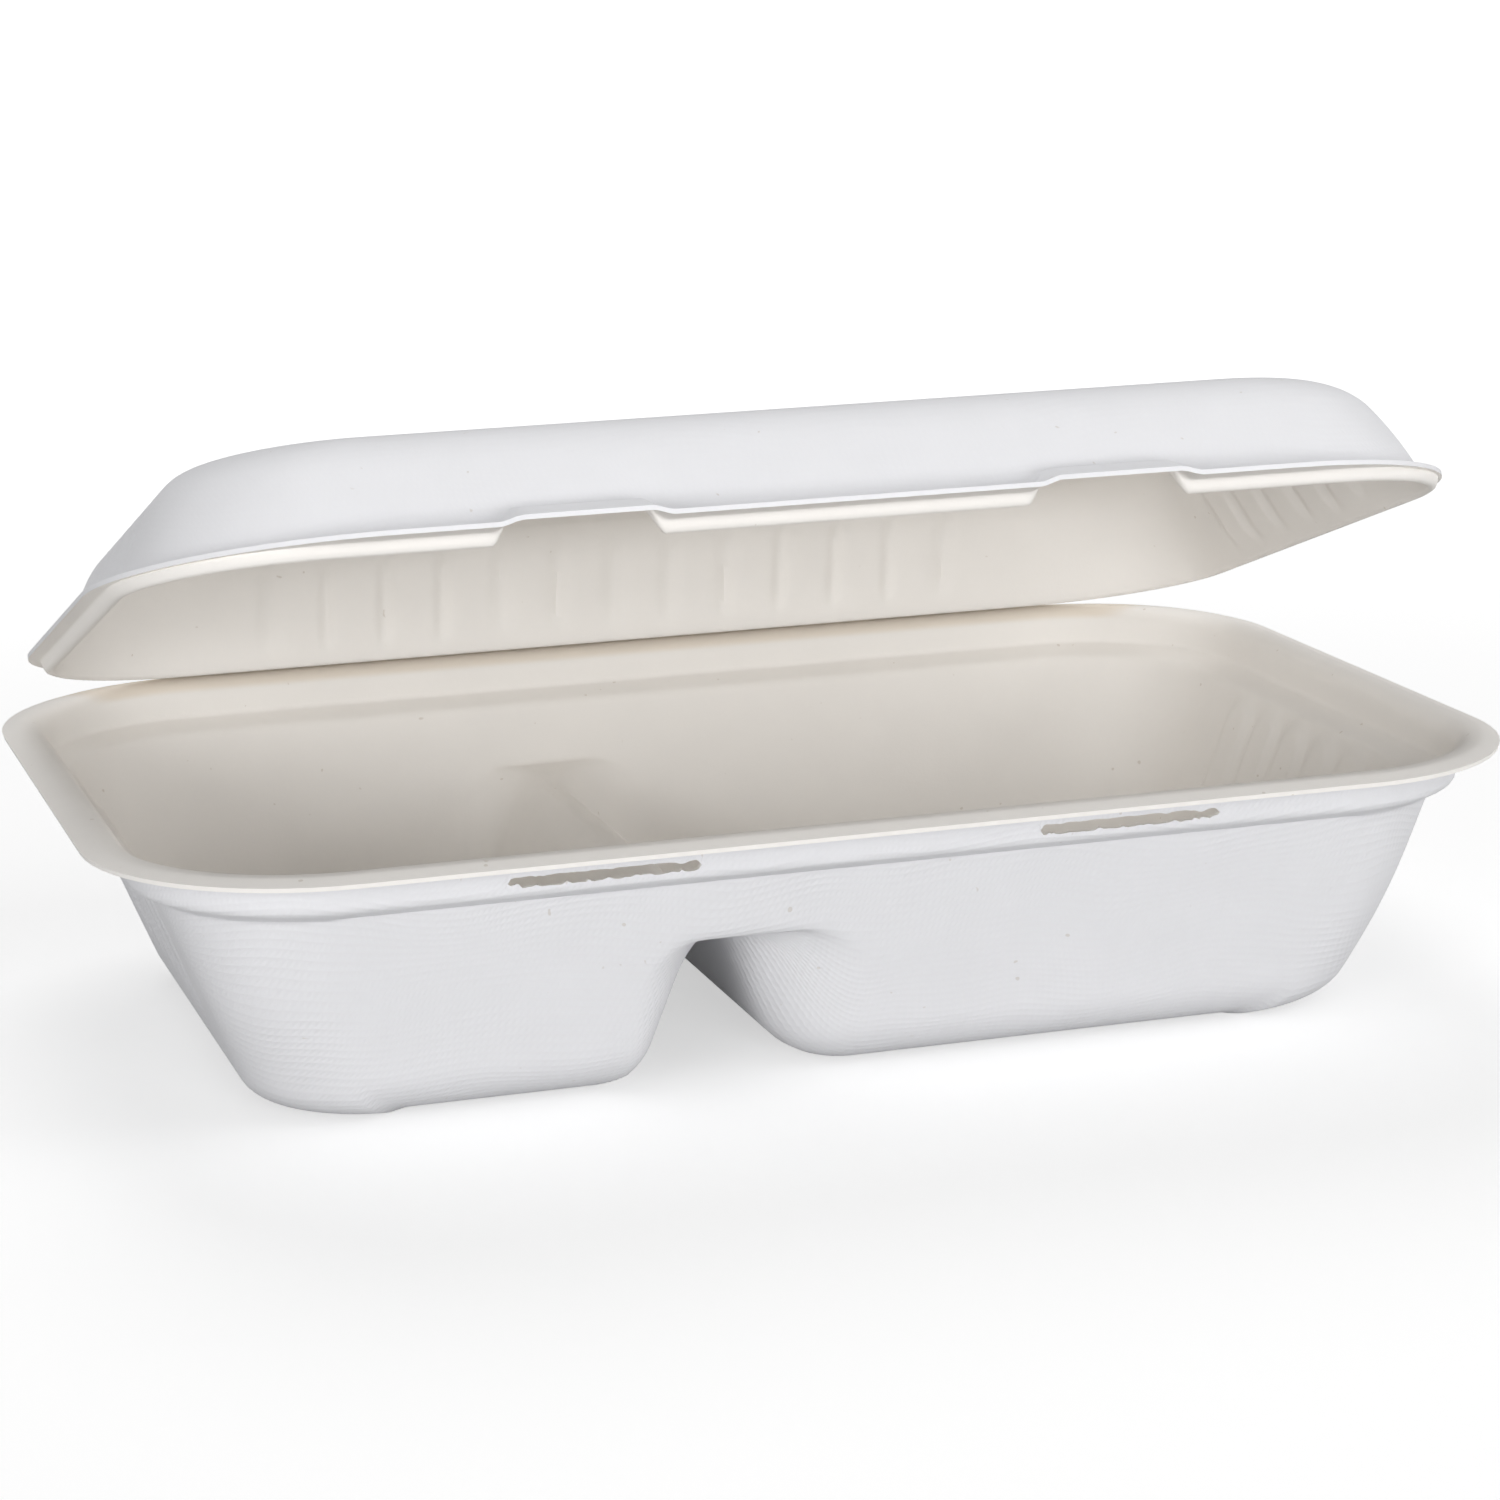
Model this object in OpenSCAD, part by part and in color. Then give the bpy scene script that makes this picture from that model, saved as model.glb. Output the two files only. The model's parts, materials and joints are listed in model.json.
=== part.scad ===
// Hinged meal box with two compartments, moulded in one piece from sugarcane pulp.
// The tray stands on z = 0 and its rim is centred on x = 0, y = 0; the front is towards -y.
// Both halves are thin sheets, worked out as rings of points that run from the rim to the middle.

/* [Rim] */
// Length of the rim, end to end
rim_length = 250; // [235:1:265]
// Width of the rim, front to back
rim_width = 165; // [155:1:180]
// Radius of the rim's corners
rim_corner = 38; // [37.5:0.5:42]
// Thickness of the moulded sheet
wall = 0.8; // [0.6:0.05:1]

/* [Tray] */
// Height of the tray, from the table to the top of its rim
tray_height = 49.4; // [45:0.2:54]
// Width of the tray's flange, from its edge to the step
flange = 7.8; // [7.2:0.1:9]
// Width of the outer lip of the flange, which slopes down
lip = 3; // [2:0.1:3.5]
// Drop of the lip at its edge
lip_drop = 0.9; // [0.3:0.1:1.4]
// Depth of the step under the flange
step_depth = 6.95; // [6.85:0.05:8]
// Width of the ledge at the foot of the step
ledge = 4.35; // [3:0.05:5]
// Slope of the ledge, in degrees
ledge_slope = 26; // [16:1:35]
// Draft of the walls, in degrees from upright
draft = 21.2; // [17:0.1:25]
// Radius between the walls and the floor
floor_radius = 9.7; // [7:0.1:12]
// Radius of the tray's corners at the floor
floor_corner = 17.5; // [14:0.5:22]

/* [Divider] */
// Middle of the divider, from the middle of the box
divider_x = -22; // [-30:0.5:-16]
// Depth of the divider's crest under the rim
crest_depth = 20.1; // [17:0.1:23]
// Half of the crest's width
crest_half = 3.6; // [3.5:0.1:7]
// Radius of the small compartment's upright corners at the divider's crest
left_pan_corner = 11.5; // [7:0.5:20]
// Radius of the large compartment's upright corners at the divider's crest
right_pan_corner = 22.5; // [9:0.5:30]
// Length over which the crest's edges are rounded
crest_soft = 3.5; // [2:0.1:5]
// Radius between the divider's walls and the floor
divider_floor_radius = 13.5; // [9:0.5:15]

/* [Flutes] */
// Spacing of the flutes in the end walls
flute_pitch = 12; // [9:0.5:12]
// Depth of the flutes
flute_depth = 0.9; // [0.4:0.1:1.2]
// Flutes in each end wall
end_flutes = 5; // [3:1:5]
// Flutes in the lid's back wall
back_flutes = 12; // [8:1:12]
// Spacing of the flutes in the lid's back wall
back_pitch = 11.4; // [9:0.1:11.5]
// Middle of the row of flutes in the lid's back wall
back_flutes_x = -2; // [-5:0.5:5]
// Width of the groove between two flutes
groove = 3.6; // [2.4:0.1:5]

/* [Slots and tabs] */
// Distance of each slot and tab from the middle of the box
latch_x = 45.5; // [42:0.5:50]
// Length of a slot
slot_length = 32; // [26:1:34]
// Height of a slot
slot_height = 1.9; // [1.4:0.1:2.1]
// Depth of a slot's middle under the rim
slot_depth = 5.3; // [4.6:0.1:5.4]
// Room between the ends of a tab and its slot
tab_room = 1.5; // [1:0.5:4]
// Rise of a tab where it leaves the lid's wall
tab_rise = 3; // [1:0.1:4]
// Rise of a tab at its edge
tab_edge_rise = 0.9; // [0.3:0.1:1.5]

/* [Lid] */
// How far each end of the lid's flange stops short of the rim's
lid_short_end = 5; // [2:0.1:5.5]
// How far the front of the lid's flange stops short of the rim's
lid_short_front = 2.2; // [0.4:0.1:3]
// Radius of the corners of the lid's flange
lid_corner = 44; // [38:0.5:45]
// Height of the lid's dome above the underside of its flange
lid_height = 19.2; // [15:0.1:23]
// Depth of the bead under the lid's flange, which sits inside the tray's step
bead_depth = 2.1; // [2:0.1:3.5]
// Radius of the bead's foot
bead_radius = 1.2; // [1:0.1:1.3]
// Draft of the bead's outer side, in degrees from upright
bead_draft = 12; // [6:1:18]
// Room between the bead and the tray's step
bead_room = 0.5; // [0.4:0.1:1]
// Draft of the lid's walls, in degrees from upright
lid_draft = 27.5; // [22:0.5:33]
// Radius of the dome's shoulder
shoulder_radius = 11.6; // [8:0.1:15]
// Radius of the dome's corners at its top
lid_top_corner = 23.5; // [20:0.5:30]
// Angle that the lid stands open
open_angle = 18.4; // [8:0.1:60]

/* [Hinge] */
// Length of the fold that joins the lid and the tray
hinge_length = 166; // [140:1:166]
// Gap between the flanges when the box is shut, and across the fold
hinge_gap = 0.3; // [0.2:0.05:0.4]

/* [Hidden] */
pulp = [0.92, 0.92, 0.92];
end_room = 0.01;
step_draft = 4;
arc_steps = 4;
corner_steps = 6;
tab_length = slot_length - 2 * tab_room;

// Smooth step from 0 to 1
function ease(t) = let (u = min(max(t, 0), 1)) u * u * (3 - 2 * u);
// A list in rising order, with each value once
function sorted(a) = len(a) < 2 ? a : concat(
    sorted([for (v = a) if (v < a[0]) v]),
    [a[0]],
    sorted([for (v = a) if (v > a[0]) v]));
// 0 outside |x| < half, rising to 1 over the distance soft inside it
function band(x, half, soft) = 1 - ease((abs(x) - half + soft) / soft);
// Smaller of a and b, with the corner between them rounded over k
function soft_min(a, b, k) = let (h = max(k - abs(a - b), 0) / max(k, end_room)) min(a, b) - h * h * k / 4;
// t for t > k, 0 for t < -k, and a smooth curve between
function soft_rise(t, k) = t > k ? t : t < -k ? 0 : (t + k) * (t + k) / (4 * k);
function unit(v) = v / norm(v);
function turned(v) = [-v[1], v[0]];

// Section of a moulded sheet: a chain of corners [inset, height, radius, steps], moved by off to its
// left and then rounded. Both faces of the sheet use it, so that they stay parallel.
function heading(c, i) = unit([c[i + 1][0] - c[i][0], c[i + 1][1] - c[i][1]]);
function moved_corner(c, i, off) =
    let (
        a = turned(heading(c, max(i - 1, 0))),
        b = turned(heading(c, min(i, len(c) - 2)))
    )
    [c[i][0], c[i][1]] + off * (a + b) / (1 + a * b);
function rounding(c, i, off) =
    let (
        da = heading(c, i - 1),
        db = heading(c, i),
        bend = da[0] * db[1] - da[1] * db[0],
        side = bend > 0 ? 1 : -1,
        r = c[i][2] - side * off,
        half = acos(min(da * db, 1)) / 2,
        start = moved_corner(c, i, off) - da * r * tan(half),
        centre = start + side * r * turned(da),
        from = atan2(turned(da)[1], turned(da)[0])
    )
    [for (k = [0 : c[i][3]])
        let (t = from + side * 2 * half * k / c[i][3])
        centre - side * r * [cos(t), sin(t)]];
function section(c, off) = concat(
    [moved_corner(c, 0, off)],
    [for (i = [1 : len(c) - 2]) each rounding(c, i, off)],
    [moved_corner(c, len(c) - 1, off)]);

// Tray section, from the edge of the lip to the floor; heights are measured from the rim's top
step_foot = flange + step_depth * tan(step_draft);
ledge_end = step_foot + ledge;
ledge_drop = step_depth + ledge * tan(ledge_slope);
inner_depth = tray_height - wall;
floor_inset = ledge_end + (inner_depth - ledge_drop) * tan(draft);
floor_run = floor_radius * tan((90 - draft) / 2) + 1;
tray_corners = [
    [0, -lip_drop, 0, 0],
    [lip, 0, 4, 1],
    [flange, 0, 3.5, 3],
    [step_foot, -step_depth, 1, 2],
    [ledge_end, -ledge_drop, 2.4, 2],
    [floor_inset, -inner_depth, floor_radius, arc_steps],
    [floor_inset + floor_run, -inner_depth, 0, 0]];
inner_section = section(tray_corners, 0);
outer_section = section(tray_corners, -wall);
// Points of the section at the ends of the step's and the main wall's straight stretches
step_point = 6;
ledge_point = 12;
wall_rings = 3;
slot_ring = step_point + 1;

// Rings added on the step at the slots' edges, and on the main wall, spaced evenly
function at_height(a, b, z) = a + (b - a) * (z - a[1]) / (b[1] - a[1]);
function with_added_rings(p) = concat(
    [for (i = [0 : step_point]) p[i]],
    [for (side = [1, -1]) at_height(p[step_point], p[step_point + 1], side * slot_height / 2 - slot_depth)],
    [for (i = [step_point + 1 : ledge_point]) p[i]],
    [for (k = [1 : wall_rings])
        p[ledge_point] + (p[ledge_point + 1] - p[ledge_point]) * k / (wall_rings + 1)],
    [for (i = [ledge_point + 1 : len(p) - 1]) p[i]]);

// Depth of the wall, its rounding and the floor at an inset, for the face moved by off
function wall_depth(s, off) =
    let (p = moved_corner(tray_corners, 5, -off))
    -p[1] - (p[0] - s) / tan(draft);
function pan_depth(s, off, radius = floor_radius) =
    let (
        r = radius + off,
        depth = inner_depth + off,
        middle = moved_corner(tray_corners, 5, -off)[0] + r * tan((90 - draft) / 2),
        along = middle - s
    )
    along <= 0 ? depth
    : along < r * cos(draft) ? depth - r + sqrt(r * r - along * along)
    : wall_depth(s, off);

// Depth of a point of the tray under the rim: the wall, unless the divider stands higher
function divided_depth(x, s, off) =
    let (
        crest = crest_depth + off,
        crest_inset = s + (crest - wall_depth(s, off)) * tan(draft),
        half = crest_half - off * (1 - sin(draft)) / cos(draft),
        a = s - crest_inset,
        b = abs(x - divider_x) - half,
        r = (x < divider_x ? left_pan_corner : right_pan_corner) + off,
        c = a < r && b < r ? r - norm([r - a, r - b]) : min(a, b),
        soft = 3 * (1 - ease(b / r))
    )
    soft_min(
        pan_depth(s, off),
        pan_depth(crest_inset + soft_rise(c, crest_soft), off, divider_floor_radius),
        soft + end_room);

// Places along the front and back where the rings have points, the same for every ring
divider_points = [0, 3.5, 7, 11, 14.5, 18.5, 24];
slot_nose = 0.4 * slot_height;
slot_ends = [for (side = [-1, 1]) for (end = [-1, 1]) for (nose = [0, slot_nose])
    side * latch_x + end * (slot_length / 2 - nose)];
tray_stations = sorted(concat(
    [for (p = divider_points) for (side = [-1, 1]) divider_x + side * p],
    slot_ends));

// Three points for each flute: the middle of the groove and both its edges
function row_stations(pitch, count) = concat(
    [for (k = [0 : count - 1]) for (share = [0, 0.2, 0.8]) (k + share - count / 2) * pitch],
    [count * pitch / 2]);
end_half = end_flutes * flute_pitch / 2;
end_stations = row_stations(flute_pitch, end_flutes);
// Shape of a row of flutes along its wall: broad ribs, 1 high, with soft narrow grooves between
function ribs(t, pitch) = let (gap = abs(t / pitch - round(t / pitch)) * pitch * 2 / groove) 1 - exp(-gap * gap);
function flutes(t, half, pitch) = abs(t) >= half ? 0 : ribs(t + half, pitch);

// One ring of points around a rounded rectangle, from the front's left end and turning left
function corner(x, y, r, from) = [for (k = [1 : corner_steps - 1])
    let (t = from + 90 * k / corner_steps)
    [x + r * cos(t), y + r * sin(t), 0]];
function fitted(stations, half) = let (most = max([for (v = stations) abs(v)]))
    [for (v = stations) v * min(1, (half - 0.6) / most)];
function plan_ring(hx, front, back, r, all_along, all_up) =
    let (
        sx = hx - r,
        low = -front + r,
        high = back - r,
        along = fitted(all_along, sx),
        up = fitted(all_up, min(-low, high))
    )
    concat(
        [[-sx, -front, 1]],
        [for (x = along) [x, -front, 1]],
        [[sx, -front, 1]],
        corner(sx, low, r, -90),
        [[hx, low, 2]],
        [for (y = up) [hx, y, 2]],
        [[hx, high, 2]],
        corner(sx, high, r, 0),
        [[sx, back, 3]],
        [for (k = [len(along) - 1 : -1 : 0]) [along[k], back, 3]],
        [[-sx, back, 3]],
        corner(-sx, high, r, 90),
        [[-hx, high, 4]],
        [for (k = [len(up) - 1 : -1 : 0]) [-hx, up[k], 4]],
        [[-hx, low, 4]],
        corner(-sx, low, r, 180));

// Corner radius of the tray at a depth, from the rim's to the floor's
function tray_corner(s, depth) = let (t = ease((depth - ledge_drop) / (inner_depth - ledge_drop)))
    (rim_corner - s) * (1 - t) + floor_corner * t;

function tray_ring(p, q, off) =
    let (
        s = p[0],
        z = p[1],
        r = tray_corner(q[0], -q[1]) + q[0] - s,
        fade = ease((-z - ledge_drop - 1) / 5) * ease((inner_depth - 9 + z) / 8),
        lip_up = s < lip ? 1 : 0
    )
    [for (v = plan_ring(rim_length / 2 - s, rim_width / 2 - s, rim_width / 2 - s, r,
                        tray_stations, end_stations))
        let (
            push = v[2] == 2 || v[2] == 4 ? flute_depth * fade * flutes(v[1], end_half, flute_pitch) : 0,
            x = v[0] - sign(v[0]) * push,
            flat = v[2] == 3 ? band(v[0], hinge_length / 2, 4) * lip_up : 0,
            level = z * (1 - flat) + (-off) * flat,
            nose = v[2] == 1 && abs(z + slot_depth) < slot_height / 2 + end_room ? slot_close(v[0]) : 0,
            sunk = v[2] == 1 || v[2] == 3
        )
        [x, v[1], tray_height + (sunk && -z > ledge_drop + 0.5
            ? -min(-level, divided_depth(v[0], s, off))
            : level * (1 - nose) - slot_depth * nose)]];
// How far a slot's edges close towards its middle: 0 along it, 0.6 at its ends
function slot_close(x) = abs(abs(abs(x) - latch_x) - slot_length / 2) < end_room ? 0.6 : 0;

// Rows of points that cross the floor between the front and the back of the last ring
floor_rows = [0.24, 0.5, 0.76];
function floor_grid(ring, s, off) = [for (t = floor_rows)
    [for (i = [0 : columns(tray_stations) - 1])
        let (
            x = ring[i][0],
            y = (rim_width / 2 - s) * (2 * t - 1),
            inset = rim_width / 2 - abs(y)
        )
        [x, y, tray_height - divided_depth(x, inset, off)]]];
function columns(stations) = len(stations) + 2;

// Faces between two rings of n points, except the quads in the gaps, which are pairs of points
function strip(a, b, n, gaps = []) = [for (i = [0 : n - 1])
    if (len([for (g = gaps) if (i >= g[0] && i < g[1]) i]) == 0)
        let (j = (i + 1) % n)
        each [[a + i, a + j, b + j], [a + i, b + j, b + i]]];
function flipped(faces) = [for (f = faces) [for (k = [len(f) - 1 : -1 : 0]) f[k]]];
function stack_faces(rings, n, hole_ring, gaps) = [for (k = [0 : rings - 2])
    each strip(k * n, (k + 1) * n, n, k == hole_ring ? gaps : [])];
// Edges around a gap between two rings, and the faces that join its two sides through the sheet
function gap_edges(a, b, g) = concat(
    [for (i = [g[0] : g[1] - 1]) [a + i, a + i + 1]],
    [[a + g[1], b + g[1]]],
    [for (i = [g[1] : -1 : g[0] + 1]) [b + i, b + i - 1]],
    [[b + g[0], a + g[0]]]);
function gap_walls(edges, lift) = [for (e = edges) each [
    [e[0], e[1], e[1] + lift],
    [e[0], e[1] + lift, e[0] + lift]]];

// Faces that close the last ring with rows across it and, at each end, a fan about a middle point
function row_point(first, row0, n, c, rows, i, j) =
    j == 0 ? first + i
    : j == rows + 1 ? first + n / 2 + c - 1 - i
    : row0 + (j - 1) * c + i;
function fan(middle, edge) = [for (k = [0 : len(edge) - 1]) [middle, edge[k], edge[(k + 1) % len(edge)]]];
function cap_faces(first, row0, n, c, rows) = concat(
    [for (i = [0 : c - 2]) for (j = [0 : rows])
        let (
            a = row_point(first, row0, n, c, rows, i, j),
            b = row_point(first, row0, n, c, rows, i + 1, j),
            d = row_point(first, row0, n, c, rows, i, j + 1),
            e = row_point(first, row0, n, c, rows, i + 1, j + 1)
        )
        each [[a, b, e], [a, e, d]]],
    fan(row0 + rows * c, concat(
        [for (k = [c - 1 : n / 2]) first + k],
        [for (j = [rows : -1 : 1]) row_point(first, row0, n, c, rows, c - 1, j)])),
    fan(row0 + rows * c + 1, concat(
        [for (k = [n / 2 + c - 1 : n - 1]) first + k],
        [first],
        [for (j = [1 : rows]) row_point(first, row0, n, c, rows, 0, j)])));
// Middle points of the two fans, right and left
function fan_middles(ring, c) = [for (i = [c - 1, 0])
    [(ring[i][0] + sign(ring[i][0]) * max([for (v = ring) abs(v[0])])) / 2, 0, ring[i][2]]];

// A closed sheet from two stacks of rings and their rows: low is the lower face, high the upper one.
// The gaps are holes punched through it between hole_ring and the ring after it.
module sheet(low, high, low_rows, high_rows, hole_ring = -1, gaps = []) {
    n = len(low[0]);
    rings = len(low);
    c = len(low_rows[0]);
    rows = len(low_rows);
    half = rings * n + rows * c + 2;
    low_faces = concat(
        stack_faces(rings, n, hole_ring, gaps),
        cap_faces((rings - 1) * n, rings * n, n, c, rows));
    high_faces = [for (f = flipped(low_faces)) [for (i = f) i + half]];
    polyhedron(
        points = concat(
            [for (r = low) each r],
            [for (r = low_rows) each r],
            fan_middles(low[rings - 1], c),
            [for (r = high) each r],
            [for (r = high_rows) each r],
            fan_middles(high[rings - 1], c)),
        faces = concat(
            low_faces,
            high_faces,
            strip(half, 0, n),
            [for (g = gaps) each gap_walls(gap_edges(hole_ring * n, (hole_ring + 1) * n, g), half)]),
        convexity = 6);
}

// Place of a station in the front of a ring
function place(x) = [for (i = [0 : len(tray_stations) - 1])
    if (abs(tray_stations[i] - x) < end_room) i][0] + 1;

module tray() {
    inner = with_added_rings(inner_section);
    outer = with_added_rings(outer_section);
    last = len(inner) - 1;
    low = [for (k = [0 : last]) tray_ring(outer[k], inner[k], wall)];
    high = [for (k = [0 : last]) tray_ring(inner[k], inner[k], 0)];
    color(pulp)
        sheet(
            low,
            high,
            floor_grid(low[last], outer[last][0], wall),
            floor_grid(high[last], inner[last][0], 0),
            slot_ring,
            [for (side = [-1, 1])
                [place(side * latch_x - slot_length / 2), place(side * latch_x + slot_length / 2)]]);
}

// Lid section, measured from the tray's rim and the underside of the lid's flange when shut: the flange,
// the bead that goes down inside the tray's step, the dome's wall and its top
bead_inset = flange + bead_depth * (tan(step_draft) - tan(bead_draft)) + bead_room;
bead_foot = bead_depth
    + bead_radius * (cos((lid_draft - bead_draft) / 2) / sin((lid_draft + bead_draft) / 2) - 1);
bead_tip = bead_inset + bead_foot * tan(bead_draft);
lid_shoulder = bead_tip + (lid_height + bead_foot) * tan(lid_draft);
lid_run = shoulder_radius * tan((90 - lid_draft) / 2) + 1;
lid_corners = [
    [0, 0, 0, 0],
    [bead_inset, 0, 1, 2],
    [bead_tip, -bead_foot, bead_radius, 4],
    [lid_shoulder, lid_height, shoulder_radius, arc_steps],
    [lid_shoulder + lid_run, lid_height, 0, 0]];
// Inset of one side of the flange, whose edge stops short of the rim by a distance of its own
function spread(s, short) = s + short * max(0, 1 - s / bead_inset);

back_half = back_flutes * back_pitch / 2;
tab_soft = 4;
lid_stations = sorted(concat(
    [for (x = row_stations(back_pitch, back_flutes)) x + back_flutes_x],
    [for (side = [-1, 1]) for (end = [-1, 1]) for (edge = [0, tab_soft])
        side * latch_x + end * (tab_length / 2 - edge)]));

lid_wall_point = 9;
function with_lid_rings(p) = concat(
    [for (i = [0 : lid_wall_point - 1]) p[i]],
    [for (k = [1 : 2]) p[lid_wall_point - 1] + (p[lid_wall_point] - p[lid_wall_point - 1]) * k / 3],
    [for (i = [lid_wall_point : len(p) - 1]) p[i]]);

function lid_corner_at(s, z) =
    let (
        t = ease(z / lid_height),
        edge = max(0, 1 - s / bead_inset),
        foot = rim_corner + bead_room - s
    )
    (foot + (lid_corner - foot) * edge) * (1 - t) + lid_top_corner * t;

function lid_ring(p, q, off) =
    let (
        s = p[0],
        z = p[1],
        r = lid_corner_at(q[0], q[1]) + q[0] - s,
        fade = ease((q[1] + bead_depth - 2) / 4) * ease((lid_height - q[1]) / 6),
        rise = tab_edge_rise + (tab_rise - tab_edge_rise) * min(s / bead_inset, 1)
    )
    [for (v = plan_ring(
            rim_length / 2 - spread(s, lid_short_end),
            rim_width / 2 - spread(s, lid_short_front),
            rim_width / 2 - spread(s, 1.5 * hinge_gap),
            r, lid_stations, end_stations))
        let (
            along = v[0] - back_flutes_x,
            end = v[2] == 2 || v[2] == 4 ? flute_depth * fade * flutes(v[1], end_half, flute_pitch) : 0,
            in_row = v[2] == 3 && abs(along) < back_half + back_pitch / 3,
            back = in_row ? flute_depth * fade * (1 - ribs(along + back_half, back_pitch)) : 0,
            tab = v[2] == 1 ? band(abs(v[0]) - latch_x, tab_length / 2, tab_soft) : 0
        )
        [v[0] - sign(v[0]) * end, v[1] + back, max(z, z * (1 - tab) + (off + rise) * tab)]];

function lid_grid(ring) = [[for (i = [0 : columns(lid_stations) - 1]) [ring[i][0], 0, ring[i][2]]]];

module lid_sheet() {
    inner = with_lid_rings(section(lid_corners, 0));
    outer = with_lid_rings(section(lid_corners, wall));
    last = len(inner) - 1;
    low = [for (k = [0 : last]) lid_ring(inner[k], inner[k], 0)];
    high = [for (k = [0 : last]) lid_ring(outer[k], inner[k], wall)];
    sheet(low, high, lid_grid(low[last]), lid_grid(high[last]));
}

// The lid, turned open about the fold along the back of the rim
module lid() {
    color(pulp)
        translate([0, rim_width / 2, tray_height + hinge_gap / 2])
            rotate([-open_angle, 0, 0])
                translate([0, -rim_width / 2, hinge_gap / 2])
                    lid_sheet();
}

tray();
lid();
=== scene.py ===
"""Looks of the hinged meal box: a tray and a lid of moulded sugarcane pulp, joined by a fold.

Both halves are built again as fine sheets from the same section as the CAD solids. Lengths are in
metres, heights of a section are measured from the top of the rim, and the front is towards -y.
"""

import json
import math

import bpy
import numpy as np
from mathutils import Matrix, Vector


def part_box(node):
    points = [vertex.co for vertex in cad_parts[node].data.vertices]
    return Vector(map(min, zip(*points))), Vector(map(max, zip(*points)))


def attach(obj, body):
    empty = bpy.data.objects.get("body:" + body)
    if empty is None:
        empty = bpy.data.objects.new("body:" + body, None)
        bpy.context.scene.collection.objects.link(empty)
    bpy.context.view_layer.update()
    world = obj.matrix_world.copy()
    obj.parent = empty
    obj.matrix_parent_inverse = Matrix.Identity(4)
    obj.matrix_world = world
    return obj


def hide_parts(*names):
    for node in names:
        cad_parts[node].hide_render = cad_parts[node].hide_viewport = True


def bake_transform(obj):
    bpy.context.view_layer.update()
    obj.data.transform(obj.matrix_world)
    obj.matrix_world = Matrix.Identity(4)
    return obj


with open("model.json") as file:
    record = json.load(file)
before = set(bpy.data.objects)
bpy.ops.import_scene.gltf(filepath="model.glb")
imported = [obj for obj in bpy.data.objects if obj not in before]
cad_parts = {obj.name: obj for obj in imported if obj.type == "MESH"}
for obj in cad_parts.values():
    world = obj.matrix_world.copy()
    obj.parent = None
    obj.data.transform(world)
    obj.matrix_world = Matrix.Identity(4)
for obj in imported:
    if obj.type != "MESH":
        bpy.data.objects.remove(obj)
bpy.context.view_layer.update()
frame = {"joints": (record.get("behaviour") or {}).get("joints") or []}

MM = 0.001
TINY = 1e-9

# Sizes taken from the frame
tray_low, tray_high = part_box("tray")
lid_low, lid_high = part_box("lid")
rim_length = tray_high.x - tray_low.x
rim_width = tray_high.y - tray_low.y
tray_height = tray_high.z
lid_short_end = (rim_length - lid_high.x + lid_low.x) / 2
fold = frame["joints"][0]
pivot = Vector(fold["pos_m"])
open_angle = math.radians(-fold["range_deg"][0])

# Sheet and rim
wall = 0.8 * MM
rim_corner = 38 * MM
flange = 7.8 * MM
lip = 3 * MM
lip_drop = 0.9 * MM
step_depth = 6.95 * MM
step_draft = math.radians(4)
ledge = 4.35 * MM
ledge_slope = math.radians(26)

# Tray
draft = math.radians(21.2)
floor_radius = 9.7 * MM
floor_corner = 17.5 * MM
divider_x = -22 * MM
crest_depth = 20.1 * MM
crest_half = 3.6 * MM
left_pan_corner = 11.5 * MM
right_pan_corner = 22.5 * MM
crest_soft = 3.5 * MM
divider_floor_radius = 13.5 * MM

# Ribs of the walls
end_pitch = 12 * MM
end_ribs = 5
back_pitch = 11.4 * MM
back_ribs = 12
back_ribs_x = -2 * MM
rib_depth = 0.9 * MM
groove = 3.6 * MM

# Slots and tabs
latch_x = 45.5 * MM
slot_length = 32 * MM
slot_height = 1.9 * MM
slot_depth = 5.3 * MM
tab_length = 29 * MM
tab_soft = 4 * MM
tab_rise = 3 * MM
tab_edge_rise = 0.9 * MM

# Lid
lid_short_front = 2.2 * MM
lid_corner = 44 * MM
lid_height = 19.2 * MM
bead_depth = 2.1 * MM
bead_radius = 1.2 * MM
bead_draft = math.radians(12)
bead_room = 0.5 * MM
lid_draft = math.radians(27.5)
shoulder_radius = 11.6 * MM
lid_top_corner = 23.5 * MM
hinge_length = 166 * MM
hinge_gap = 0.3 * MM

# Fineness of the meshes
ARC_STEP = 0.8 * MM
RING_STEP = 1.25 * MM
END_COLUMNS = 66
CORNER_STEPS = 16
SLOT_COLUMN = 0.46 * MM
PLAIN_COLUMN = 1.5 * MM
FLOOR_ROWS = 30

# The woven screen's print on the outside: rows of slanting stitches that stray a little
ROW_HEIGHT = 1.4 * MM
STITCH_LENGTH = 1.1 * MM
STITCH_SLANT = 0.6
STITCH_DEPTH = 0.3
DRIFT = 0.06
DRIFT_SCALE = 7
LID_SCREEN = 0.35

# Colours, as linear values of the pulp sheet, with painted light and shade in some: the tray's outside is
# painted darker than the lid's, as painted shade, and the lid's outside lighter, as painted light
TRAY_OUTSIDE_SHADED = (0.82, 0.82, 0.84, 1)
LID_OUTSIDE_LIT = (0.86, 0.86, 0.88, 1)
# The inner face's own warmer tone, painted lighter than the pulp as painted light inside the box
INSIDE_WARM_LIT = (0.935, 0.908, 0.872, 1)
FIBRE = (0.45, 0.37, 0.27, 1)
# Painted shade for the back of the rim, tinted warm like light bounced from the lid's inside
PAINTED_SHADE_TAN = (0.86, 0.79, 0.70, 1)

# The painted shade on the back of the rim, under the lid, warm like light bounced from its inside: axis,
# where it begins and where it is full
PAINTED_SHADE_ZONE = (
    (1, rim_width / 2 - 14 * MM, rim_width / 2 - 10 * MM),
    (2, tray_height - 2.6 * MM, tray_height - 1.2 * MM),
)

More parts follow.
